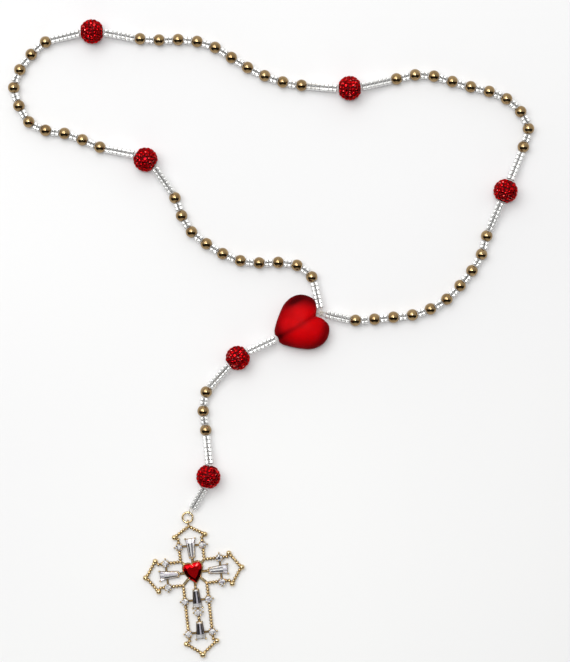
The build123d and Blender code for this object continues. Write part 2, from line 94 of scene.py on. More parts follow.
# ---------------------------------------------------------------- the cord's route, from the knot round to it
LOOP_ROUTE = [
    (0.0213, 0.011, 0.0046), (0.0185, 0.027, 0.0025), (0.0095, 0.033, 0.0025), (-0.010, 0.0325, 0.0025),
    (-0.019, 0.0355, 0.0025), (-0.036, 0.046, 0.0025), (-0.042, 0.064, 0.0025), (-0.0535, 0.0785, 0.0061),
    (-0.074, 0.082, 0.0025), (-0.086, 0.088, 0.0025), (-0.104, 0.0905, 0.0025), (-0.111, 0.107, 0.0025),
    (-0.108, 0.1155, 0.0025), (-0.098, 0.128, 0.0025), (-0.0755, 0.1325, 0.0061), (-0.0535, 0.128, 0.0025),
    (-0.0365, 0.1285, 0.0025), (-0.026, 0.1265, 0.0025), (-0.008, 0.115, 0.0025), (0.006, 0.1095, 0.0025),
    (0.0355, 0.1065, 0.0061), (0.0555, 0.112, 0.0025), (0.0655, 0.114, 0.0025), (0.086, 0.108, 0.0025),
    (0.0985, 0.105, 0.0025), (0.1065, 0.099, 0.0025), (0.1115, 0.0905, 0.0025), (0.108, 0.0815, 0.0025),
    (0.1005, 0.0635, 0.0061), (0.0925, 0.0445, 0.0025), (0.090, 0.034, 0.0025), (0.0765, 0.017, 0.0025),
    (0.064, 0.0105, 0.0025), (0.035, 0.0075, 0.0025), (0.0213, 0.011, 0.0046),
]
DROP_ROUTE = [
    (-0.0141, -0.0081, 0.0052), (-0.0277, -0.0227, 0.0025), (-0.029, -0.0309, 0.0025),
    (-0.0279, -0.0391, 0.0025), (-0.0267, -0.0589, 0.0052),
]


def route_points(name, points):
    """Close points along the smooth NURBS curve that the route's points control."""
    curve = bpy.data.curves.new(name, "CURVE")
    curve.dimensions = "3D"
    curve.resolution_u = 24
    spline = curve.splines.new("NURBS")
    spline.points.add(len(points) - 1)
    for control, place in zip(spline.points, points):
        control.co = (*place, 1)
    spline.order_u = 3
    spline.use_endpoint_u = True
    holder = bpy.data.objects.new(name, curve)
    bpy.context.scene.collection.objects.link(holder)
    bpy.context.view_layer.update()
    mesh = bpy.data.meshes.new_from_object(holder.evaluated_get(bpy.context.evaluated_depsgraph_get()))
    line = np.array([v.co[:] for v in mesh.vertices])
    bpy.data.objects.remove(holder)
    bpy.data.meshes.remove(mesh)
    return line


# ---------------------------------------------------------------- mesh helpers
def object_from(name, verts, faces, materials, face_material=None, smooth=True):
    """A mesh object from points in metres."""
    mesh = bpy.data.meshes.new(name)
    mesh.from_pydata([tuple(v) for v in verts], [], [tuple(f) for f in faces])
    mesh.update()
    for material in materials:
        mesh.materials.append(material)
    if face_material is not None:
        mesh.polygons.foreach_set("material_index", face_material)
    mesh.polygons.foreach_set("use_smooth", [smooth] * len(mesh.polygons))
    piece = bpy.data.objects.new(name, mesh)
    bpy.context.scene.collection.objects.link(piece)
    return piece


def revolved(profile, segments, closed=True):
    """Points and faces of a profile of (radius, height) turned about z. A closed profile is a ring."""
    verts, faces = [], []
    for k in range(segments):
        turn = 2 * math.pi * k / segments
        verts += [(r * math.cos(turn), r * math.sin(turn), z) for r, z in profile]
    count = len(profile)
    for k in range(segments):
        here, there = k * count, (k + 1) % segments * count
        for i in range(count if closed else count - 1):
            j = (i + 1) % count
            faces.append((here + i, there + i, there + j, here + j))
    return np.array(verts), faces


def arc(centre, radius, start, end, steps):
    """Points of an arc in a profile, angles in degrees."""
    angles = np.radians(np.linspace(start, end, steps))
    return [(centre[0] + radius * math.cos(a), centre[1] + radius * math.sin(a)) for a in angles]


def frame_along(direction, spin=0.0):
    """A rotation that takes z to the direction, turned about it by spin radians."""
    z = Vector(direction).normalized()
    return z.to_track_quat("Z", "Y").to_matrix() @ Matrix.Rotation(spin, 3, "Z")


class Batch:
    """Shapes gathered into one mesh."""

    def __init__(self):
        self.verts, self.faces, self.slots = [], [], []
        self.count = 0

    def add(self, shape, rotation=None, place=(0, 0, 0), scale=(1, 1, 1), slot=0):
        verts, faces = shape
        points = np.asarray(verts, float) * np.asarray(scale, float)
        if rotation is not None:
            points = points @ np.array(rotation).T
        self.verts.append(points + np.asarray(place, float))
        self.faces += [tuple(int(i) + self.count for i in f) for f in faces]
        self.slots += [slot] * len(faces)
        self.count += len(points)

    def made(self, name, materials, smooth=True):
        points = np.concatenate(self.verts) * MM
        return object_from(name, points, self.faces, materials, self.slots, smooth)


def hull(points):
    """The convex hull of points, as faces that keep their facets."""
    work = bmesh.new()
    for p in points:
        work.verts.new(p)
    result = bmesh.ops.convex_hull(work, input=work.verts)
    loose = [v for v in result["geom_interior"] + result["geom_unused"] if isinstance(v, bmesh.types.BMVert)]
    bmesh.ops.delete(work, geom=list(set(loose)), context="VERTS")
    bmesh.ops.dissolve_limit(work, angle_limit=math.radians(1), verts=work.verts, edges=work.edges)
    work.verts.index_update()
    shape = [v.co[:] for v in work.verts], [[v.index for v in f.verts] for f in work.faces]
    work.free()
    return np.array(shape[0]), shape[1]


def beads_of(node):
    """(centre, direction of its hole, half its length along that) of each separate solid in a CAD node,
    in mm, read from its mesh."""
    mesh = frame["nodes"][node].data
    points = np.empty(len(mesh.vertices) * 3)
    mesh.vertices.foreach_get("co", points)
    points = points.reshape(-1, 3) / MM
    _, weld = np.unique(np.round(points, 4), axis=0, return_inverse=True)
    weld = weld.reshape(-1)
    mesh.calc_loop_triangles()
    triangles = np.empty(len(mesh.loop_triangles) * 3, int)
    mesh.loop_triangles.foreach_get("vertices", triangles)
    triangles = triangles.reshape(-1, 3)
    parent = list(range(weld.max() + 1))

    def root(i):
        while parent[i] != i:
            parent[i] = parent[parent[i]]
            i = parent[i]
        return i

    for a, b, c in weld[triangles]:
        parent[root(a)] = root(b)
        parent[root(b)] = root(c)
    owner = np.array([root(i) for i in weld[triangles[:, 0]]])
    beads = []
    for label in dict.fromkeys(owner.tolist()):
        a, b, c = (points[triangles[owner == label][:, i]] for i in range(3))
        normals = np.cross(b - a, c - a)
        areas = np.linalg.norm(normals, axis=1) + 1e-12
        centre = (areas[:, None] * (a + b + c) / 3).sum(0) / areas.sum()
        spread = (normals[:, :, None] * normals[:, None, :] / areas[:, None, None]).sum(0)
        values, axes = np.linalg.eigh(spread)
        odd = 0 if values[1] - values[0] > values[2] - values[1] else 2
        axis = axes[:, odd]
        beads.append((centre, axis, float(np.abs((a - centre) @ axis).max())))
    return beads


def tube_mesh(line, radius, segments=10):
    """A round tube along close points, closed at both ends."""
    line = np.asarray(line, float)
    along = np.gradient(line, axis=0)
    along /= np.linalg.norm(along, axis=1)[:, None]
    verts, faces = [], []
    side = np.cross(along[0], (0, 0, 1))
    side /= np.linalg.norm(side)
    for place, direction in zip(line, along):
        side = side - direction * (side @ direction)
        side /= np.linalg.norm(side)
        up = np.cross(side, direction)
        for k in range(segments):
            turn = 2 * math.pi * k / segments
            verts.append(place + radius * (math.cos(turn) * side + math.sin(turn) * up))
    for n in range(len(line) - 1):
        for k in range(segments):
            a, b = n * segments + k, n * segments + (k + 1) % segments
            faces.append((a, b, b + segments, a + segments))
    faces.append(tuple(range(segments)))
    faces.append(tuple(reversed(range(len(verts) - segments, len(verts)))))
    return np.array(verts), faces


# ---------------------------------------------------------------- materials
def new_material(name):
    """A material, its node maker and its principled shader."""
    made = bpy.data.materials.new(name)
    made.use_nodes = True
    tree = made.node_tree
    shader = tree.nodes["Principled BSDF"]

    def node(kind, links=(), **settings):
        """A node with its settings and inputs set; a link is (input, source node, source output)."""
        fresh = tree.nodes.new(kind)
        for key, value in settings.items():
            if key in fresh.inputs:
                fresh.inputs[key].default_value = value
            else:
                setattr(fresh, key, value)
        for socket, source, output in links:
            tree.links.new(source.outputs[output], fresh.inputs[socket])
        return fresh

    def link(source, output, socket):
        tree.links.new(source.outputs[output], shader.inputs[socket])

    return made, node, link, shader


def ramp(node, source, output, stops):
    """A color ramp fed by a source; stops are (position, rgb)."""
    fresh = node("ShaderNodeValToRGB", [("Fac", source, output)])
    band = fresh.color_ramp
    while len(band.elements) < len(stops):
        band.elements.new(0.5)
    for element, (position, color) in zip(band.elements, stops):
        element.position = position
        element.color = (*color, 1)
    return fresh


def bumped(node, link, height, strength, distance):
    """Roughens a material's surface by a texture."""
    bump = node("ShaderNodeBump", [("Height", height, "Fac")], Strength=strength, Distance=distance)
    link(bump, "Normal", "Normal")


def multiplied(made, node, first, second, amount):
    """Colours a material by the product of two ramps."""
    mixed = node("ShaderNodeMix", data_type="RGBA", blend_type="MULTIPLY")
    mixed.inputs[0].default_value = amount
    tree = made.node_tree
    tree.links.new(first.outputs["Color"], mixed.inputs[6])
    tree.links.new(second.outputs["Color"], mixed.inputs[7])
    tree.links.new(mixed.outputs[2], tree.nodes["Principled BSDF"].inputs["Base Color"])


def metal(name, base, worn, roughness, bump):
    """Polished plated metal with faint tarnish and fine scratches."""
    made, node, link, shader = new_material(name)
    place = node("ShaderNodeTexCoord")
    cloud = node("ShaderNodeTexNoise", [("Vector", place, "Object")], Scale=260.0, Detail=4.0)
    link(ramp(node, cloud, "Fac", [(0.35, base), (0.72, worn)]), "Color", "Base Color")
    grain = node("ShaderNodeTexNoise", [("Vector", place, "Object")], Scale=1400.0, Detail=3.0)
    low, high = roughness
    link(ramp(node, grain, "Fac", [(0.3, (low,) * 3), (0.75, (high,) * 3)]), "Color", "Roughness")
    bumped(node, link, grain, bump, 0.0001)
    shader.inputs["Metallic"].default_value = 1.0
    return made


def crystal(name, tones, metallic, coat, edge=(1.0, 1.0, 1.0)):
    """Foil-backed cut glass with a painted reflection on each facet: each facet shows the light in its own tone.
    """
    made, node, _, shader = new_material(name)
    each = node("ShaderNodeAttribute", attribute_name="tone")
    steps = [(n / (len(tones) - 1), tone) for n, tone in enumerate(tones)]
    tone = ramp(node, each, "Fac", steps)
    place = node("ShaderNodeTexCoord")
    inner = node("ShaderNodeTexVoronoi", [("Vector", place, "Object")], Scale=1500.0)
    shade = ramp(node, inner, "Distance", [(0.1, (0.55,) * 3), (0.6, (1.0,) * 3)])
    multiplied(made, node, tone, shade, 0.8)
    shader.inputs["Metallic"].default_value = metallic
    shader.inputs["Specular Tint"].default_value = (*edge, 1.0)
    shader.inputs["Roughness"].default_value = 0.04
    shader.inputs["Coat Weight"].default_value = coat
    shader.inputs["Coat Roughness"].default_value = 0.03
    return made


def paint_facet_reflections(piece, choose):
    """Gives each facet a tone from 0 to 1, its painted reflection, which the crystal material colours it by."""
    tone = piece.data.attributes.new("tone", "FLOAT", "FACE")
    tone.data.foreach_set("value", [choose(face) for face in piece.data.polygons])


def clay_material():
    """The dull dark clay that holds the crystals."""
    made, node, link, shader = new_material("pave_clay")
    place = node("ShaderNodeTexCoord")
    lumps = node("ShaderNodeTexNoise", [("Vector", place, "Object")], Scale=900.0, Detail=6.0)
    reds = ramp(node, lumps, "Fac", [(0.3, (0.05, 0.0, 0.001)), (0.7, (0.13, 0.001, 0.003))])
    link(reds, "Color", "Base Color")
    bumped(node, link, lumps, 0.5, 0.0003)
    shader.inputs["Roughness"].default_value = 0.55
    shader.inputs["Specular IOR Level"].default_value = 0.05
    return made


def seed_glass_material():
    """Clear glass over silver, dark where the "shade" attribute says."""
    made, node, link, shader = new_material("seed_glass")
    shade = node("ShaderNodeAttribute", attribute_name="shade")
    silver = [(0.0, (0.95, 0.95, 0.94)), (0.3, (0.80, 0.80, 0.79)), (1.0, (0.03, 0.03, 0.03))]
    tone = ramp(node, shade, "Fac", silver)
    link(tone, "Color", "Base Color")
    place = node("ShaderNodeTexCoord")
    ripple = node("ShaderNodeTexNoise", [("Vector", place, "Object")], Scale=1100.0, Detail=2.0)
    bumped(node, link, ripple, 0.12, 0.0002)
    shader.inputs["Roughness"].default_value = 0.12
    shader.inputs["Metallic"].default_value = 0.55
    shader.inputs["Coat Weight"].default_value = 0.7
    shader.inputs["Coat Roughness"].default_value = 0.04
    return made


def lining_material():
    made, node, link, shader = new_material("seed_lining")
    place = node("ShaderNodeTexCoord")
    dull = node("ShaderNodeTexNoise", [("Vector", place, "Object")], Scale=900.0)
    link(ramp(node, dull, "Fac", [(0.3, (0.55, 0.55, 0.56)), (0.7, (0.9, 0.9, 0.9))]), "Color", "Base Color")
    shader.inputs["Metallic"].default_value = 1.0
    shader.inputs["Roughness"].default_value = 0.2
    return made


def thread_material():
    """Pale twisted fibre."""
    made, node, link, shader = new_material("thread")
    place = node("ShaderNodeTexCoord")
    fibre = node("ShaderNodeTexNoise", [("Vector", place, "Object")], Scale=5200.0, Detail=3.0)
    strands = ramp(node, fibre, "Fac", [(0.3, (0.42, 0.38, 0.33)), (0.7, (0.83, 0.79, 0.72))])
    link(strands, "Color", "Base Color")
    bumped(node, link, fibre, 0.6, 0.00008)
    shader.inputs["Roughness"].default_value = 0.75
    return made


def heart_material():
    """Frosted translucent resin, with painted light and shade: as bright as the "depth" attribute says."""
    made, node, link, shader = new_material("heart_resin")
    painted_light = node("ShaderNodeAttribute", attribute_name="depth")
    reds = [(0.0, (0.07, 0.0, 0.001)), (0.45, (0.30, 0.001, 0.003)), (1.0, (0.70, 0.001, 0.003))]
    color = ramp(node, painted_light, "Fac", reds)
    place = node("ShaderNodeTexCoord")
    cloud = node("ShaderNodeTexNoise", [("Vector", place, "Object")], Scale=170.0, Detail=5.0)
    veil = ramp(node, cloud, "Fac", [(0.35, (0.78,) * 3), (0.7, (1.0,) * 3)])
    multiplied(made, node, color, veil, 1.0)
    frost = node("ShaderNodeTexNoise", [("Vector", place, "Object")], Scale=2600.0, Detail=4.0)
    link(ramp(node, frost, "Fac", [(0.3, (0.3,) * 3), (0.7, (0.5,) * 3)]), "Color", "Roughness")
    bumped(node, link, frost, 0.15, 0.00006)
    shader.inputs["Subsurface Weight"].default_value = 0.3
    shader.inputs["Subsurface Radius"].default_value = (1.0, 0.02, 0.02)
    shader.inputs["Subsurface Scale"].default_value = 0.002
    shader.inputs["Specular IOR Level"].default_value = 0.02
    return made


def floor_material():
    made, node, link, shader = new_material("floor")
    place = node("ShaderNodeTexCoord")
    wash = node("ShaderNodeTexNoise", [("Vector", place, "Object")], Scale=3.0, Detail=2.0)
    pale = ramp(node, wash, "Fac", [(0.3, (0.80, 0.80, 0.81)), (0.7, (0.86, 0.86, 0.86))])
    link(pale, "Color", "Base Color")
    shader.inputs["Roughness"].default_value = 0.7
    return made


GOLD = metal("gold_bead", (0.39, 0.27, 0.135), (0.27, 0.175, 0.08), (0.07, 0.13), 0.03)
CROSS_GOLD = metal("cross_gold", (0.74, 0.58, 0.33), (0.56, 0.41, 0.21), (0.10, 0.20), 0.10)
# painted shade: a much darker gold for the bars, seats and cups beneath the grains and stones, where shade falls
SHADE_PAINTED_GOLD = metal("cross_gold_painted_shade", (0.24, 0.16, 0.07), (0.14, 0.09, 0.04), (0.28, 0.42), 0.15)
CLAY = clay_material()
# the red tones run from dark to bright, painted reflections, and the last is a painted white glint
RED = crystal("red_crystal", [(0.05, 0.0, 0.001), (0.22, 0.001, 0.003), (0.42, 0.003, 0.006),
                              (0.66, 0.004, 0.006), (0.90, 0.012, 0.016), (1.0, 0.50, 0.45)], 1.0, 0.0,
              (0.8, 0.05, 0.06))
# clear tones from near black to white: painted reflections and, at the top, a painted glint
CLEAR = crystal("clear_crystal", [(0.02, 0.02, 0.02), (0.24, 0.22, 0.26), (0.78, 0.75, 0.86),
                                  (0.96, 0.95, 1.0), (1.0, 1.0, 1.0)], 0.5, 0.4)
SEED = seed_glass_material()
LINING = lining_material()
THREAD = thread_material()
HEART = heart_material()


def put(piece, body, slot, *nodes):
    """Gives a piece to its body, in place of the CAD nodes it shows; its slot is not used."""
    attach(piece, body)
    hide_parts(*nodes)


# ---------------------------------------------------------------- threads
def cut(line, start, end, skip=0.0):
    """The part of a line from nearest the start point to nearest the end point, less a skipped length."""
    first = int(np.argmin(np.linalg.norm(line - start, axis=1)))
    last = int(np.argmin(np.linalg.norm(line - end, axis=1)))
    part = line[first:last + 1]
    run = np.concatenate([[0], np.cumsum(np.linalg.norm(np.diff(part, axis=0), axis=1))])
    return part[run >= skip]


def beside(line, offset):
    """The line moved sideways, level."""
    along = np.gradient(line, axis=0)
    side = np.stack([-along[:, 1], along[:, 0], 0 * along[:, 0]], 1)
    return line + offset * side / np.linalg.norm(side, axis=1)[:, None]


def lay_thread(name, body, node, line):
    """A thread along a line, as a plain tube."""
    shape = tube_mesh(line, THREAD_RADIUS * MM, 8)
    piece = object_from(name, *shape, [THREAD])
    put(piece, body, "thread", node)
    length = float(np.linalg.norm(np.diff(line, axis=0), axis=1).sum())
    if length >= CORD_LENGTH:
        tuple(line[0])


def make_threads():
    """Two rows of thread along the loop, the drop and the heart, cut at the pivots."""
    loop = route_points("loop_route", LOOP_ROUTE)
    drop = route_points("drop_route", DROP_ROUTE)
    at = {j["name"]: np.array(j["pos_m"]) for j in frame["joints"]}
    pivots = [at[f"loop_pivot_{n}"] for n in range(1, 8)]
    ends = [c * MM for c, _, _ in beads_of("gold_beads_7")]
    open_pivot = max(ends, key=lambda c: np.argmin(np.linalg.norm(loop - c, axis=1)))
    pivots.append(open_pivot)
    half = len(loop) // 2
    for side, offset in THREAD_ROWS:
        lay_thread(f"thread_heart_out_{side}", "heart_side", "thread_heart",
                   beside(cut(loop[:half], loop[0], pivots[0], 0.0007), offset))
        lay_thread(f"thread_heart_back_{side}", "heart_side", "thread_heart",
                   beside(cut(loop[half:], open_pivot, loop[-1], PAST_PIVOT_BEAD * MM)[:-1], offset))
        for n, (start, end) in enumerate(zip(pivots, pivots[1:]), 1):
            lay_thread(f"thread_{n}_{side}", f"loop_{n}", f"thread_{n}",
                       beside(cut(loop, start, end, PAST_PIVOT_BEAD * MM), offset))
        lay_thread(f"thread_drop_middle_{side}", "drop_middle", "thread_drop_middle",
                   beside(cut(drop, drop[0], drop[-1], PAST_BALL * MM), offset))
    turn = math.radians(HEART_ANGLE)
    axis = np.array([math.cos(turn), math.sin(turn), 0])
    tip = np.array([*HEART_TIP, HEART_HEIGHT / 2]) * MM
    steps = np.linspace(0, 1, 12)[:, None]
    inner = tip + axis * 0.001
    outside = inner + (drop[0] - inner) / np.linalg.norm(drop[0] - inner) * 0.0012
    for side, offset in THREAD_ROWS:
        lay_thread(f"thread_heart_bore_{side}", "heart_side", "thread_heart",
                   beside(inner + (loop[0] - inner) * steps, offset))
        lay_thread(f"thread_drop_upper_{side}", "drop_upper", "thread_drop_upper",
                   beside(outside + (drop[0] - outside) * steps, offset))
    make_ring_thread(drop[-1])


def on_cross(x, y, z):
    """A point of the crucifix, in mm: x to its right and y up it."""
    turn = math.radians(CROSS_TURN)
    return np.array([CROSS_CENTRE[0] + x * math.cos(turn) - y * math.sin(turn),
                     CROSS_CENTRE[1] + x * math.sin(turn) + y * math.cos(turn), z])


RING_RADIUS = 2.17
RING_WIRE_RADIUS = 0.42
RING_HEIGHT = 1.35
EYELET_AT = 21.6
RING_CENTRE = on_cross(0, EYELET_AT + RING_RADIUS, RING_HEIGHT)


def smooth_path(points, steps=10):
    """A smooth line through points."""
    points = np.asarray(points, float)
    padded = np.concatenate([[2 * points[0] - points[1]], points, [2 * points[-1] - points[-2]]])
    line = []
    for a, b, c, d in zip(padded, padded[1:], padded[2:], padded[3:]):
        for t in np.linspace(0, 1, steps, endpoint=False):
            line.append(0.5 * (2 * b + (c - a) * t + (2 * a - 5 * b + 4 * c - d) * t ** 2
                               + (3 * b - a - 3 * c + d) * t ** 3))
    line.append(padded[-2])
    return np.array(line)


def make_ring_thread(ball):
    """The doubled thread from the last ball, round the jump ring's wire and back."""
    start = ball / MM
    reach = RING_CENTRE - start
    level = np.array([reach[0], reach[1], 0])
    level /= np.linalg.norm(level)
    side = np.array([-level[1], level[0], 0])
    wire = RING_CENTRE - level * RING_RADIUS
    direction = (wire - start) / np.linalg.norm(wire - start)
    begin, near = start + direction * PAST_BALL, wire - direction * 2.0
    turn = [(-0.3, 0.5, 0.85), (0.95, 0.2, 0.5), (0.95, -0.2, -0.5), (-0.3, -0.5, -0.85)]
    points = [begin + side * THREAD_OFFSET, near + side * THREAD_OFFSET]
    points += [wire + level * u + side * v + np.array([0, 0, w]) for u, v, w in turn]
    points += [near - side * THREAD_OFFSET, begin - side * THREAD_OFFSET]
    lay_thread("thread_ring_turn", "drop_lower", "thread_drop_lower", smooth_path(points) * MM)


# ---------------------------------------------------------------- beads
def gold_shape():
    """A round bead with a hole whose mouths are softly rounded."""
    mouth = math.degrees(math.acos(GOLD_MOUTH / GOLD_RADIUS))
    profile = arc((0, 0), GOLD_RADIUS, -mouth, mouth, 37)
    top = GOLD_RADIUS * math.sin(math.radians(mouth))
    lip = [(GOLD_MOUTH - 0.12, top + 0.01), (GOLD_BORE + 0.05, top - 0.12), (GOLD_BORE, top - 0.4)]
    profile += lip + [(r, -z) for r, z in reversed(lip)]
    return revolved(profile, 56)


def seed_shapes():
    """A seed bead of unit half length: its rounded glass and its silver lining."""
    half, corner = 1.0, SEED_ROUNDING
    profile = arc((SEED_RADIUS - corner, half - corner), corner, 0, 90, 5)
    profile += arc((SEED_BORE + 0.15, half - 0.15), 0.15, 90, 180, 4)
    profile += [(r, -z) for r, z in reversed(profile)]
    outside, inside = SEED_BORE + 0.05, SEED_BORE + 0.01
    lining = [(outside, -0.9), (outside, 0.9), (inside, 0.9), (inside, -0.9)]
    return revolved(profile, 20), revolved(lining, 14)


def make_gold_beads():
    shape = gold_shape()
    rng = random.Random(3)
    for node in sorted(n for n in frame["nodes"] if n.startswith("gold_beads_")):
        batch = Batch()
        for centre, axis, _ in beads_of(node):
            batch.add(shape, frame_along(axis, rng.uniform(0, 6.28)), centre)
        put(batch.made(f"{node}_visual", [GOLD]), body_with(node), "gold_bead", node)


def make_seed_beads():
    glass, lining = seed_shapes()
    rng = random.Random(5)
    for node in sorted(n for n in frame["nodes"] if n.startswith("seed_beads_")):
        batch, shades = Batch(), []
        seeds = beads_of(node)
        centres = np.array([centre for centre, _, _ in seeds])
        for centre, axis, half in seeds:
            turned = frame_along(axis, rng.uniform(0, 6.28))
            across = rng.uniform(0.95, 1.0)
            batch.add(glass, turned, centre, (across, across, half * rng.uniform(0.93, 1.0)))
            batch.add(lining, turned, centre, (1, 1, half * 0.95), slot=1)
            gaps = np.linalg.norm(centres - centre, axis=1)
            gaps[gaps < 0.1] = 99
            partner = centres[int(np.argmin(np.abs(gaps - 2 * STRAND_OFFSET)))] - centre
            partner = np.array(turned).T @ (partner / np.linalg.norm(partner))
            # painted shade: dark along the groove between the rows and, less so, where two beads of a row meet
            groove_shade = np.clip((glass[0] @ partner / SEED_RADIUS - 0.62) / 0.3, 0, 1)
            joint_shade = np.clip((np.abs(glass[0][:, 2]) - 0.86) / 0.14, 0, 1) * 0.55
            shades += list(np.maximum(groove_shade, joint_shade)) + [0.5] * len(lining[0])
        piece = batch.made(f"{node}_visual", [SEED, LINING])
        piece.data.attributes.new("shade", "FLOAT", "POINT").data.foreach_set("value", shades)
        put(piece, body_with(node), "seed_glass", node)


def body_with(node):
    """The body that carries a CAD node."""
    return next(b for b, nodes in frame["record"]["behaviour"]["bodies"].items() if node in nodes)


def brilliant(girdle, table, heights, corners):
    """A round cut stone: its lowest ring, girdle, facet points and table, at four heights."""
    low, middle, break_height, top = heights
    rounds = [(girdle * 0.9, low, 2 * corners, 0), (girdle, middle, 2 * corners, 0),
              ((girdle + table) * 0.52, break_height, corners, 0.5), (table, top, corners, 0)]
    points = []
    for radius, height, count, offset in rounds:
        for k in range(count):
            turn = 2 * math.pi * (k + offset) / count
            points.append((radius * math.cos(turn), radius * math.sin(turn), height))
    return hull(points)


def clay_ball_shape():
    """A ball with a hole whose mouths widen."""
    mouth = math.degrees(math.acos(BALL_MOUTH / CLAY_RADIUS))
    profile = arc((0, 0), CLAY_RADIUS, -mouth, mouth, 41)
    top = CLAY_RADIUS * math.sin(math.radians(mouth))
    lip = [(BALL_MOUTH - 0.3, top - 0.1), (1.2, top - 0.6), (1.0, top - 1.4)]
    profile += lip + [(r, -z) for r, z in reversed(lip)]
    return revolved(profile, 56)


def make_pave_balls():
    shape = clay_ball_shape()
    stone = brilliant(CRYSTAL_RADIUS, 0.44, (CRYSTAL_BASE, 4.93, 5.1, BALL_RADIUS + 0.02), 8)
    rng = random.Random(11)
    for n in range(1, 7):
        (centre, axis, _), = beads_of(f"pave_ball_{n}")
        clay = Batch()
        clay.add(shape, frame_along(axis), centre)
        put(clay.made(f"pave_ball_{n}_visual", [CLAY]), f"ball_{n}", "pave_clay", f"pave_ball_{n}")
        stones = Batch()
        for place, _, _ in beads_of(f"pave_crystals_{n}"):
            out = (place - centre) / np.linalg.norm(place - centre)
            lean = out + np.array([rng.uniform(-0.05, 0.05) for _ in range(3)])
            size = rng.uniform(0.93, 1.04)
            turned = frame_along(lean, rng.uniform(0, 6.28))
            stones.add(stone, turned, centre, (size, size, rng.uniform(0.99, 1.003)))
        piece = stones.made(f"pave_crystals_{n}_visual", [RED], smooth=False)
        # painted reflections: a random tone on each facet, and a few painted glints at the top tone
        paint_facet_reflections(piece, lambda face: 1.0 if rng.random() < 0.012 else 0.85 * rng.random() ** 1.15)
        put(piece, f"ball_{n}", "red_crystal", f"pave_crystals_{n}")


# ---------------------------------------------------------------- heart
HEART_OUTLINE = [
    (0.35, 0.0), (0.45, 2.3), (2.1, 4.7), (6.0, 8.2), (10.0, 11.0), (14.0, 12.1), (17.8, 11.5),
    (20.7, 9.3), (22.3, 6.3), (21.6, 3.0), (19.9, 0.0),
]


def make_heart():
    """A puffed heart, made as rings of the outline that shrink about its middle as they rise."""
    half = smooth_path([(x, y, 0) for x, y in HEART_OUTLINE], 9)[:, :2]
    outline = np.concatenate([half, [(x, -y) for x, y in half[-2:0:-1]]])
    middle = np.array([HEART_MIDDLE, 0])
    count, rings = len(outline), 26
    verts, faces, depth = [], [], []
    for level in range(2 * rings - 1):
        turn = math.pi * (level / (2 * rings - 2))
        size, height = max(math.sin(turn), 0.0) ** 0.92, math.cos(turn)
        lift = math.copysign(abs(height) ** 0.9, height) * HEART_HEIGHT / 2
        for x, y in middle + (outline - middle) * size:
            verts.append((x, y, lift))
    for level in range(2 * rings - 2):
        for k in range(count):
            a, b = level * count + k, level * count + (k + 1) % count
            faces.append((a, a + count, b + count, b))
    batch = Batch()
    turned = Matrix.Rotation(math.radians(HEART_ANGLE), 3, "Z")
    place = (*HEART_TIP, HEART_HEIGHT / 2)
    batch.add((verts, faces), turned, place)
    body = batch.made("heart_solid", [HEART])
    clean = bmesh.new()
    clean.from_mesh(body.data)
    bmesh.ops.remove_doubles(clean, verts=clean.verts, dist=0.00001)
    bmesh.ops.recalc_face_normals(clean, faces=clean.faces)
    clean.to_mesh(body.data)
    clean.free()

    # the hole from the tip to the cleft, with a wider mouth at each end
    profile = [(1.9, -2), (1.9, 0.1), (1.45, 0.8), (1.1, 1.6), (1.1, HEART_LENGTH - 1.6),
               (1.45, HEART_LENGTH - 0.7), (1.9, HEART_LENGTH), (1.9, HEART_LENGTH + 3)]
    drill = Batch()
    drill.add(revolved(profile, 32, closed=False), turned @ Matrix.Rotation(math.pi / 2, 3, "Y"), place)
    cutter = drill.made("heart_drill", [HEART])
    filled = bmesh.new()
    filled.from_mesh(cutter.data)
    bmesh.ops.holes_fill(filled, edges=filled.edges)
    bmesh.ops.recalc_face_normals(filled, faces=filled.faces)
    filled.to_mesh(cutter.data)
    filled.free()
    bore = body.modifiers.new("bore", "BOOLEAN")
    bore.operation = "DIFFERENCE"
    bore.solver = "EXACT"
    bore.object = cutter
    bpy.context.view_layer.update()
    mesh = bpy.data.meshes.new_from_object(body.evaluated_get(bpy.context.evaluated_depsgraph_get()))
    body.modifiers.clear()
    body.data = mesh
    bpy.data.objects.remove(cutter)
    mesh.polygons.foreach_set("use_smooth", [True] * len(mesh.polygons))

    # painted light and shade, for how far the light gets: darker over the hole, near the edges and in the left
    # lobe
    back = np.array(turned.inverted())
    for v in mesh.vertices:
        x, y, z = back @ (np.array(v.co) / MM - place)
        near_edge = min(1.0, math.hypot((x - middle[0]) / 10.5, y / 10.8))
        light = 1.0 - 0.75 * near_edge ** 3
        light -= 0.35 * math.exp(-((y / 1.15) ** 2))
        light -= 0.25 * max(0.0, min(1.0, (y - 2) / 9)) * max(0.0, (x - 8) / 12)
        light -= 0.4 * math.exp(-math.hypot((x - 14.6) / 3.4, (y - 9.6) / 1.1) ** 2)
        if math.hypot(y, z) < 1.35:
            light = 0.0
        depth.append(max(0.0, light))
    # the painted light and shade go into the "depth" attribute
    painted_light = mesh.attributes.new("depth", "FLOAT", "POINT")
    painted_light.data.foreach_set("value", depth)
    put(body, "heart_side", "heart_resin", "heart_bead")


KNOT_SCALE = 1.5


def make_knot():
    """The threads' knot in the heart's cleft: a few turns pulled tight."""
    turn = math.radians(HEART_ANGLE)
    axis = np.array([math.cos(turn), math.sin(turn), 0])
    centre = np.array([*HEART_TIP, HEART_HEIGHT / 2]) + axis * (HEART_LENGTH + 2.1)
    line = []
    for t in np.linspace(0, 2 * math.pi, 150, endpoint=False):
        swing = 0.42 + 0.22 * math.cos(5 * t)
        offset = [swing * math.cos(3 * t), swing * math.sin(3 * t), 0.5 * math.sin(5 * t)]
        line.append(centre + KNOT_SCALE * np.array(offset))
    batch = Batch()
    batch.add(tube_mesh(line, 0.2, 8))
    put(batch.made("closing_knot_visual", [THREAD]), "heart_side", "thread", "closing_knot")


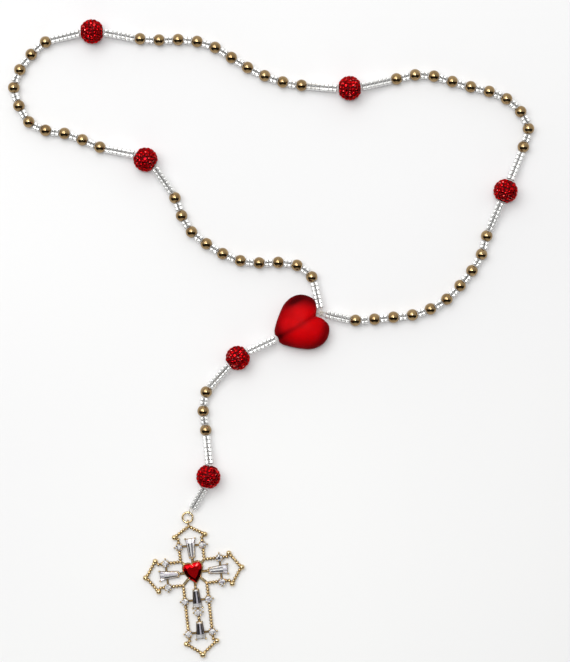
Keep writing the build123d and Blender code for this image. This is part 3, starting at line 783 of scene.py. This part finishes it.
# ---------------------------------------------------------------- crucifix
RAIL_WIDTH = 1.4
RAIL_HALF_GAP = 5.1
GRAIN_PITCH = 1.3
GRAIN_SIZE = (0.56, 0.86, 0.7)  # half its length, width and height
GRAIN_HEIGHT = 1.05
BAR_TOP = 0.9
SPINE_WIDTH = 1.1
CROSS_BARS = [11.5, -12, -26]
ARM_BARS = [-11.6, 11.6]
CROSS_BAR_WIDTH = 0.9
DIAGONAL_WIDTH = 1.2
RAIL_CORNERS = [
    (0, 19.9), (6.6, 15.8), (5.1, 14.7), (5.1, 5.1), (14.8, 5.1), (15.9, 6.6), (20.5, 0), (15.9, -6.6),
    (14.8, -5.1), (5.1, -5.1), (5.1, -29.1), (6.6, -30.2), (0, -35.3),
]
CORNER_BALLS = [(6.6, 15.8), (15.9, 6.6), (15.9, -6.6), (6.6, -30.2)]
CORNER_BALL_RADIUS = 1.15
CORNER_BALL_HEIGHT = 1.18
# x, y and radius of the balls on the arms' tips and the foot, and of the small beads between the stones
TIP_BALLS = [(-20.8, 0, 1.2), (20.8, 0, 1.2), (0, -35.5, 1.35)]
TIP_BALL_HEIGHT = 1.38
LINK_BEADS = [(0, 6.1, 0.55), (-6.2, 0, 0.55), (6.2, 0, 0.55), (0, -6.4, 0.6), (0, -19.8, 0.65)]
LINK_BEAD_HEIGHT = 1.0
ROUND_STONES = [
    (-5, 11.5), (5, 11.5), (-11.6, 5.1), (-11.6, -5.1), (11.6, 5.1), (11.6, -5.1),
    (-5, -12), (5, -12), (0, -17.25), (-5.1, -26), (5.1, -26),
]
# turn of the arm from +y, then the stone's narrow and wide ends from the centre
BAGUETTES = [
    ("baguette_top", 0, 6.6, 14.4), ("baguette_left", 90, 6.7, 14.4), ("baguette_right", -90, 6.7, 14.4),
    ("baguette_foot_upper", 180, 7.4, 15.0), ("baguette_foot_lower", 180, 21.4, 28.4),
]
NARROW_HALF = 1.15
WIDE_HALF = 1.85
CENTRE_STONE_HALF = [(0, 3.7), (1.5, 4.25), (3.2, 4.0), (4.1, 2.5), (3.7, 0.3), (2.0, -2.6), (0, -4.5)]
CENTRE_STONE_TURN = 8
CENTRE_PRONGS = [(0, 3.6), (3.3, 4.25), (4.4, 1.8), (2.6, -2.3), (0, -4.75)]
STONE_PRONG_HEIGHT = 2.25
SEAT_TOP = 1.25
CUP_PROFILE = [(0.9, 0), (1.3, 0.15), (1.35, 1.2), (1.45, 2.0), (1.35, 2.12), (0.4, 2.0), (0.4, 0)]
CUP_PRONGS = 4
CUP_PRONGS_OUT = 1.45
CUP_PRONG_HEIGHT = 2.9
FREE_PRONG_OUT = 2.05
FREE_PRONG_HEIGHT = 1.9
# a baguette's long facets: where each ends across its half width, its height there, and its tone, a painted
# reflection
STRIPS = [
    (-1.0, 1.45, 0), (-0.62, 2.0, 0.85), (-0.3, 2.2, 0.04), (0.12, 2.25, 1.0), (0.55, 2.05, 0.2),
    (1.0, 1.45, 1.0),
]
# darker painted reflections, for the foot's baguettes
DARK_REFLECTION_STRIPS = [0.12, 0.0, 0.42, 0.0, 0.08]


def mitred_ring(corners, profile):
    """A bar of that cross-section, (across, height), along a closed line of corners."""
    corners = np.asarray(corners, float)
    count = len(profile)
    verts, faces = [], []
    for n, corner in enumerate(corners):
        come = corner - corners[n - 1]
        go = corners[(n + 1) % len(corners)] - corner
        come, go = come / np.linalg.norm(come), go / np.linalg.norm(go)
        across = np.array([come[1] + go[1], -come[0] - go[0]])
        across /= np.linalg.norm(across)
        stretch = 1 / max(0.35, float(across @ np.array([come[1], -come[0]])))
        verts += [(*(corner + across * u * stretch), z) for u, z in profile]
    for n in range(len(corners)):
        here, there = n * count, (n + 1) % len(corners) * count
        for i in range(count):
            j = (i + 1) % count
            faces.append((here + i, there + i, there + j, here + j))
    return verts, faces


def even_points(corners, pitch):
    """Points at about that pitch along a closed line, with the direction of the line at each."""
    corners = np.asarray(corners, float)
    places = []
    for start, end in zip(corners, np.roll(corners, -1, axis=0)):
        run = end - start
        count = max(1, round(np.linalg.norm(run) / pitch))
        turn = math.atan2(run[1], run[0])
        places += [(*(start + run * (k / count)), turn) for k in range(count)]
    return places


def dome():
    """A unit ball."""
    return revolved(arc((0, 0), 1, -89.5, 89.5, 15), 14, closed=False)


def slab(outline, bottom, top, bevel):
    """An upright block on a flat outline, with its top edge bevelled inwards."""
    outline = np.asarray(outline, float)
    levels = [(0, bottom), (0, top - bevel), (bevel, top)]
    count = len(outline)
    verts, faces = [], []
    for inset, height in levels:
        for n, corner in enumerate(outline):
            come, go = corner - outline[n - 1], outline[(n + 1) % count] - corner
            come, go = come / np.linalg.norm(come), go / np.linalg.norm(go)
            inward = np.array([-come[1] - go[1], come[0] + go[0]])
            inward /= np.linalg.norm(inward)
            stretch = 1 / max(0.35, float(inward @ np.array([-come[1], come[0]])))
            verts.append((*(corner + inward * inset * stretch), height))
    for level in range(2):
        for k in range(count):
            a, b = level * count + k, level * count + (k + 1) % count
            faces.append((a, b, b + count, a + count))
    faces.append(tuple(reversed(range(count))))
    faces.append(tuple(range(2 * count, 3 * count)))
    return verts, faces


def bar(start, end, width):
    """A straight bar between two points in the crucifix's plane."""
    run = np.array([end[0] - start[0], end[1] - start[1]], float)
    side = np.array([-run[1], run[0]]) / np.linalg.norm(run) * width / 2
    start, end = np.array(start, float), np.array(end, float)
    return slab([start - side, end - side, end + side, start + side], 0, BAR_TOP, 0.2)


def baguette_outline(near, far, grow):
    near_half, far_half = NARROW_HALF + grow, WIDE_HALF + grow
    near, far = near - grow, far + grow
    return [(-near_half, near), (near_half, near), (far_half, far), (-far_half, far)]


def scaled(shape, size):
    """A shape scaled by one number, or by one for each axis."""
    return np.asarray(shape[0]) * size, shape[1]


def moved(shape, place):
    """A shape moved to a place."""
    return np.asarray(shape[0]) + place, shape[1]


def turned_shape(shape, degrees):
    """A shape turned about z."""
    turn = np.array(Matrix.Rotation(math.radians(degrees), 3, "Z"))
    return np.asarray(shape[0], float) @ turn.T, shape[1]


def centre_outline(steps=3):
    """The heart cut's outline, anticlockwise from its cleft, round its left side first."""
    right = smooth_path([(x, y, 0) for x, y in CENTRE_STONE_HALF], steps)[:, :2]
    left = [(-x, y) for x, y in right[1:-1]]
    return np.array(left + [tuple(p) for p in reversed(right)])


def cross_frame_shapes():
    """The crucifix's metalwork as (shape, where, metal) in its own frame; metal 1 is the much darker gold of its
    recesses, painted shade.
    """
    corners = RAIL_CORNERS + [(-x, y) for x, y in reversed(RAIL_CORNERS[1:-1])]
    half = RAIL_WIDTH / 2 - 0.25
    profile = [(-half, 0.12), (-half, 0.7), (-half + 0.18, 0.85), (half - 0.18, 0.85),
               (half, 0.7), (half, 0.12), (half - 0.15, 0), (-half + 0.15, 0)]
    yield mitred_ring(corners, profile), None, 1
    ball = dome()
    for x, y, turn in even_points(corners, GRAIN_PITCH):
        yield turned_shape(scaled(ball, GRAIN_SIZE), math.degrees(turn)), (x, y, GRAIN_HEIGHT), 0
    for x, y in CORNER_BALLS:
        for side in (-1, 1):
            yield scaled(ball, CORNER_BALL_RADIUS), (side * x, y, CORNER_BALL_HEIGHT), 0
    for x, y, radius in TIP_BALLS:
        yield scaled(ball, radius), (x, y, TIP_BALL_HEIGHT), 0
    yield bar((0, -28), (0, 14), SPINE_WIDTH), None, 1
    yield bar((-14, 0), (14, 0), SPINE_WIDTH), None, 1
    for x, y, radius in LINK_BEADS:
        yield scaled(ball, radius), (x, y, LINK_BEAD_HEIGHT), 0
    gap = RAIL_HALF_GAP
    for y in CROSS_BARS:
        yield bar((-gap, y), (gap, y), CROSS_BAR_WIDTH), None, 1
    for x in ARM_BARS:
        yield bar((x, -gap), (x, gap), CROSS_BAR_WIDTH), None, 1
    for sign in (-1, 1):
        yield bar((-gap, -gap * sign), (gap, gap * sign), DIAGONAL_WIDTH), None, 0
    outline = centre_outline()
    yield turned_shape(slab(outline * 1.11, 0, SEAT_TOP, 0.15), CENTRE_STONE_TURN), None, 1
    for x, y in CENTRE_PRONGS:
        for side in ((-1, 1) if x else (1,)):
            post = moved(prong_shape(0.36, STONE_PRONG_HEIGHT), (side * x, y, 0))
            yield turned_shape(post, CENTRE_STONE_TURN), None, 0
    for _, degrees, near, far in BAGUETTES:
        yield turned_shape(slab(baguette_outline(near, far, 0.2), 0, SEAT_TOP, 0.14), degrees), None, 1
        for side in (-1, 1):
            for x, y in ((NARROW_HALF * 0.8, near - 0.1), (WIDE_HALF + 0.25, far + 0.3)):
                post = moved(prong_shape(0.4, STONE_PRONG_HEIGHT), (side * x, y, 0))
                yield turned_shape(post, degrees), None, 0
    cup = revolved(CUP_PROFILE, 32)
    for x, y in ROUND_STONES:
        yield cup, (x, y, 0), 1
        for k in range(CUP_PRONGS):
            turn = math.radians(45 + 90 * k)
            across, up = CUP_PRONGS_OUT * math.cos(turn), CUP_PRONGS_OUT * math.sin(turn)
            yield prong_shape(0.34, CUP_PRONG_HEIGHT), (x + across, y + up, 0), 0
        # and a free prong outside the rail, or one each side of the stone on the spine
        for side in (math.copysign(1, x),) if x else (-1, 1):
            out = (side, 0) if abs(x) < 8 else (0, math.copysign(1, y))
            place = (x + FREE_PRONG_OUT * out[0], y + FREE_PRONG_OUT * out[1], 0)
            yield prong_shape(0.38, FREE_PRONG_HEIGHT), place, 0


def prong_shape(radius, height):
    """A round post with a domed tip."""
    profile = [(radius * 0.9, 0.3), (radius * 0.9, height - radius)]
    profile += arc((0, height - radius), radius, 0, 89, 7)
    return revolved(profile, 12, closed=False)


def torus(radius, wire, start=0.0, end=360.0, steps=64):
    """A ring about z, or an open part of one with its ends closed."""
    turns = np.radians(np.linspace(start, end, steps))
    line = [(radius * math.cos(t), radius * math.sin(t), 0) for t in turns]
    return tube_mesh(line, wire, 16)


def make_crucifix():
    """The crucifix's metalwork and stones, and the jump ring."""
    spin = Matrix.Rotation(math.radians(CROSS_TURN), 3, "Z")
    place = np.array([*CROSS_CENTRE, 0])

    def add(batch, shape, where=None, slot=0):
        points = np.asarray(shape[0], float) + (where if where is not None else (0, 0, 0))
        batch.add((points, shape[1]), spin, place, slot=slot)

    metalwork = Batch()
    for shape, where, recess in cross_frame_shapes():
        add(metalwork, shape, where, recess)
    eyelet = torus(0.95, 0.4)
    upright = np.asarray(eyelet[0]) @ np.array(Matrix.Rotation(math.pi / 2, 3, "Y")).T
    add(metalwork, (upright, eyelet[1]), (0, EYELET_AT, RING_HEIGHT))
    frame_piece = metalwork.made("cross_frame_visual", [CROSS_GOLD, SHADE_PAINTED_GOLD])
    soften(frame_piece)
    put(frame_piece, "crucifix", "cross_gold", "cross_frame")

    rng = random.Random(21)
    for name, degrees, near, far in BAGUETTES:
        stone = Batch()
        shape, tones = baguette_shape(near, far, "foot" in name)
        add(stone, turned_shape(shape, degrees))
        piece = stone.made(f"{name}_visual", [CLEAR], smooth=False)
        paint_facet_reflections(piece, lambda face: tones[face.index])
        put(piece, "crucifix", "clear_crystal", name)

    stones = Batch()
    cut_stone = brilliant(1.36, 0.6, (0.0, 0.42, 0.8, 1.15), 8)
    for x, y in ROUND_STONES:
        add(stones, turned_shape(cut_stone, rng.uniform(0, 45)), (x, y, 2.1))
    piece = stones.made("cross_round_crystals_visual", [CLEAR], smooth=False)
    # painted reflections: dark, mid and bright facets, and painted white glints
    paint_facet_reflections(piece, lambda face: rng.choice((0.05, 0.4, 0.8, 1.0, 1.0)))
    put(piece, "crucifix", "clear_crystal", "cross_round_crystals")

    heart = Batch()
    add(heart, turned_shape(centre_stone_shape(), CENTRE_STONE_TURN))
    piece = heart.made("cross_centre_crystal_visual", [RED], smooth=False)
    # painted reflections: a mid tone on the table and a random tone on the other facets
    paint_facet_reflections(piece, lambda face: 0.62 if len(face.vertices) > 6 else 0.15 + 0.7 * rng.random())
    put(piece, "crucifix", "red_crystal", "cross_centre_crystal")

    link = Batch()
    link.add(torus(RING_RADIUS, RING_WIRE_RADIUS, 2.5, 357.5, 72), spin, RING_CENTRE)
    put(link.made("jump_ring_visual", [CROSS_GOLD]), "ring", "cross_gold", "jump_ring")


def baguette_shape(near, far, dark):
    """A tapered stone cut in long strips, with a bevel at each end, and the tone of each of its faces, a painted
    reflection.
    """
    verts, faces, tones = [], [], []
    for y, half, lift in ((near, NARROW_HALF, -0.5), (near + 0.6, NARROW_HALF * 1.05, 0),
                          (far - 1.7, WIDE_HALF * 0.93, 0), (far, WIDE_HALF, -0.7)):
        for across, height, _ in STRIPS:
            verts.append((half * across, y, height + (lift if abs(across) < 1 else 0)))
    low = [(-NARROW_HALF, near, 1.1), (NARROW_HALF, near, 1.1), (WIDE_HALF, far, 1.1), (-WIDE_HALF, far, 1.1)]
    count = len(STRIPS)
    for row in range(3):
        for k in range(count - 1):
            a = row * count + k
            faces.append((a, a + 1, a + 1 + count, a + count))
            tone = DARK_REFLECTION_STRIPS[k] if dark else STRIPS[k + 1][2]
            tones.append(tone if row == 1 else 0.95 - 0.45 * tone)
    base = len(verts)
    verts += low
    faces.append((base, base + 1, *reversed(range(count))))
    faces.append((base + 2, base + 3, *range(3 * count, 4 * count)))
    faces.append((base + 3, base, *(row * count for row in range(4))))
    faces.append((base + 1, base + 2, *(row * count + count - 1 for row in reversed(range(4)))))
    faces.append((base + 3, base + 2, base + 1, base))
    return (verts, faces), tones + [0.6] * 5


def centre_stone_shape():
    """A heart cut stone: girdle, a belt of kite facets and a flat table."""
    girdle = centre_outline(2)
    count = len(girdle)
    middle = np.array([0, 0.3])
    belt = middle + (np.roll(girdle, -1, axis=0) + girdle - 2 * middle) / 2 * 0.84
    table = middle + (girdle - middle) * 0.6
    verts = [(*p, 1.0) for p in girdle * 0.97] + [(*p, 1.75) for p in girdle]
    verts += [(*p, 2.15) for p in belt] + [(*p, 2.45) for p in table]
    faces = []
    for k in range(count):
        j = (k + 1) % count
        low, rim, mid, top = 0, count, 2 * count, 3 * count
        faces += [(low + k, low + j, rim + j, rim + k), (rim + k, rim + j, mid + k),
                  (rim + j, mid + j, mid + k), (mid + k, mid + j, top + j), (top + k, mid + k, top + j)]
    faces.append(tuple(range(3 * count, 4 * count)))
    faces.append(tuple(reversed(range(count))))
    return verts, faces


def soften(piece):
    """Smooth shading that keeps edges sharper than 35 degrees."""
    for face in piece.data.polygons:
        face.use_smooth = True
    piece.data.set_sharp_from_angle(angle=math.radians(35))


# ---------------------------------------------------------------- floor and light
# name, place, width and depth in metres, and power in watts
LAMPS = [
    ("key", (-0.35, 0.45, 1.1), 1.1, 0.8, 8.5),
    ("top", (0.02, 0.10, 1.3), 0.28, 0.16, 4.5),
]
# where along y, from 0 to 1, and how bright: a dark band between pale ones, for the metal to mirror
SKY = [(0.0, 0.9), (0.08, 0.6), (0.14, 0.03), (0.40, 0.02), (0.47, 0.6), (0.7, 0.75), (1.0, 1.0)]
SKY_STRENGTH = 0.95


def make_studio():
    """A pale floor, two soft lamps and a banded sky."""
    bpy.context.scene.view_settings.view_transform = "Standard"
    corners = [(-3, -3, 0), (3, -3, 0), (3, 3, 0), (-3, 3, 0)]
    floor = object_from("floor", corners, [(0, 1, 2, 3)], [floor_material()])
    floor.location.z = -FLOOR_GAP
    for name, place, width, depth, power in LAMPS:
        data = bpy.data.lights.new(name, "AREA")
        data.shape = "RECTANGLE"
        data.size, data.size_y = width, depth
        data.energy = power
        lamp = bpy.data.objects.new(name, data)
        lamp.location = place
        lamp.rotation_euler = (-Vector(place)).to_track_quat("-Z", "Y").to_euler()
        bpy.context.scene.collection.objects.link(lamp)
    world = bpy.data.worlds.new("studio")
    bpy.context.scene.world = world
    world.use_nodes = True
    tree = world.node_tree
    background = tree.nodes["Background"]
    place = tree.nodes.new("ShaderNodeTexCoord")
    parts = tree.nodes.new("ShaderNodeSeparateXYZ")
    band = tree.nodes.new("ShaderNodeValToRGB")
    lift = tree.nodes.new("ShaderNodeMapRange")
    tree.links.new(place.outputs["Generated"], parts.inputs[0])
    tree.links.new(parts.outputs["Y"], lift.inputs["Value"])
    lift.inputs["From Min"].default_value = -1
    tree.links.new(lift.outputs["Result"], band.inputs["Fac"])
    tree.links.new(band.outputs["Color"], background.inputs["Color"])
    while len(band.color_ramp.elements) < len(SKY):
        band.color_ramp.elements.new(0.5)
    for element, (position, level) in zip(band.color_ramp.elements, SKY):
        element.position = position
        element.color = (level, level, level * 0.98, 1)
    background.inputs["Strength"].default_value = SKY_STRENGTH


make_camera()
make_threads()
make_gold_beads()
make_seed_beads()
make_pave_balls()
make_heart()
make_knot()
make_crucifix()
make_studio()
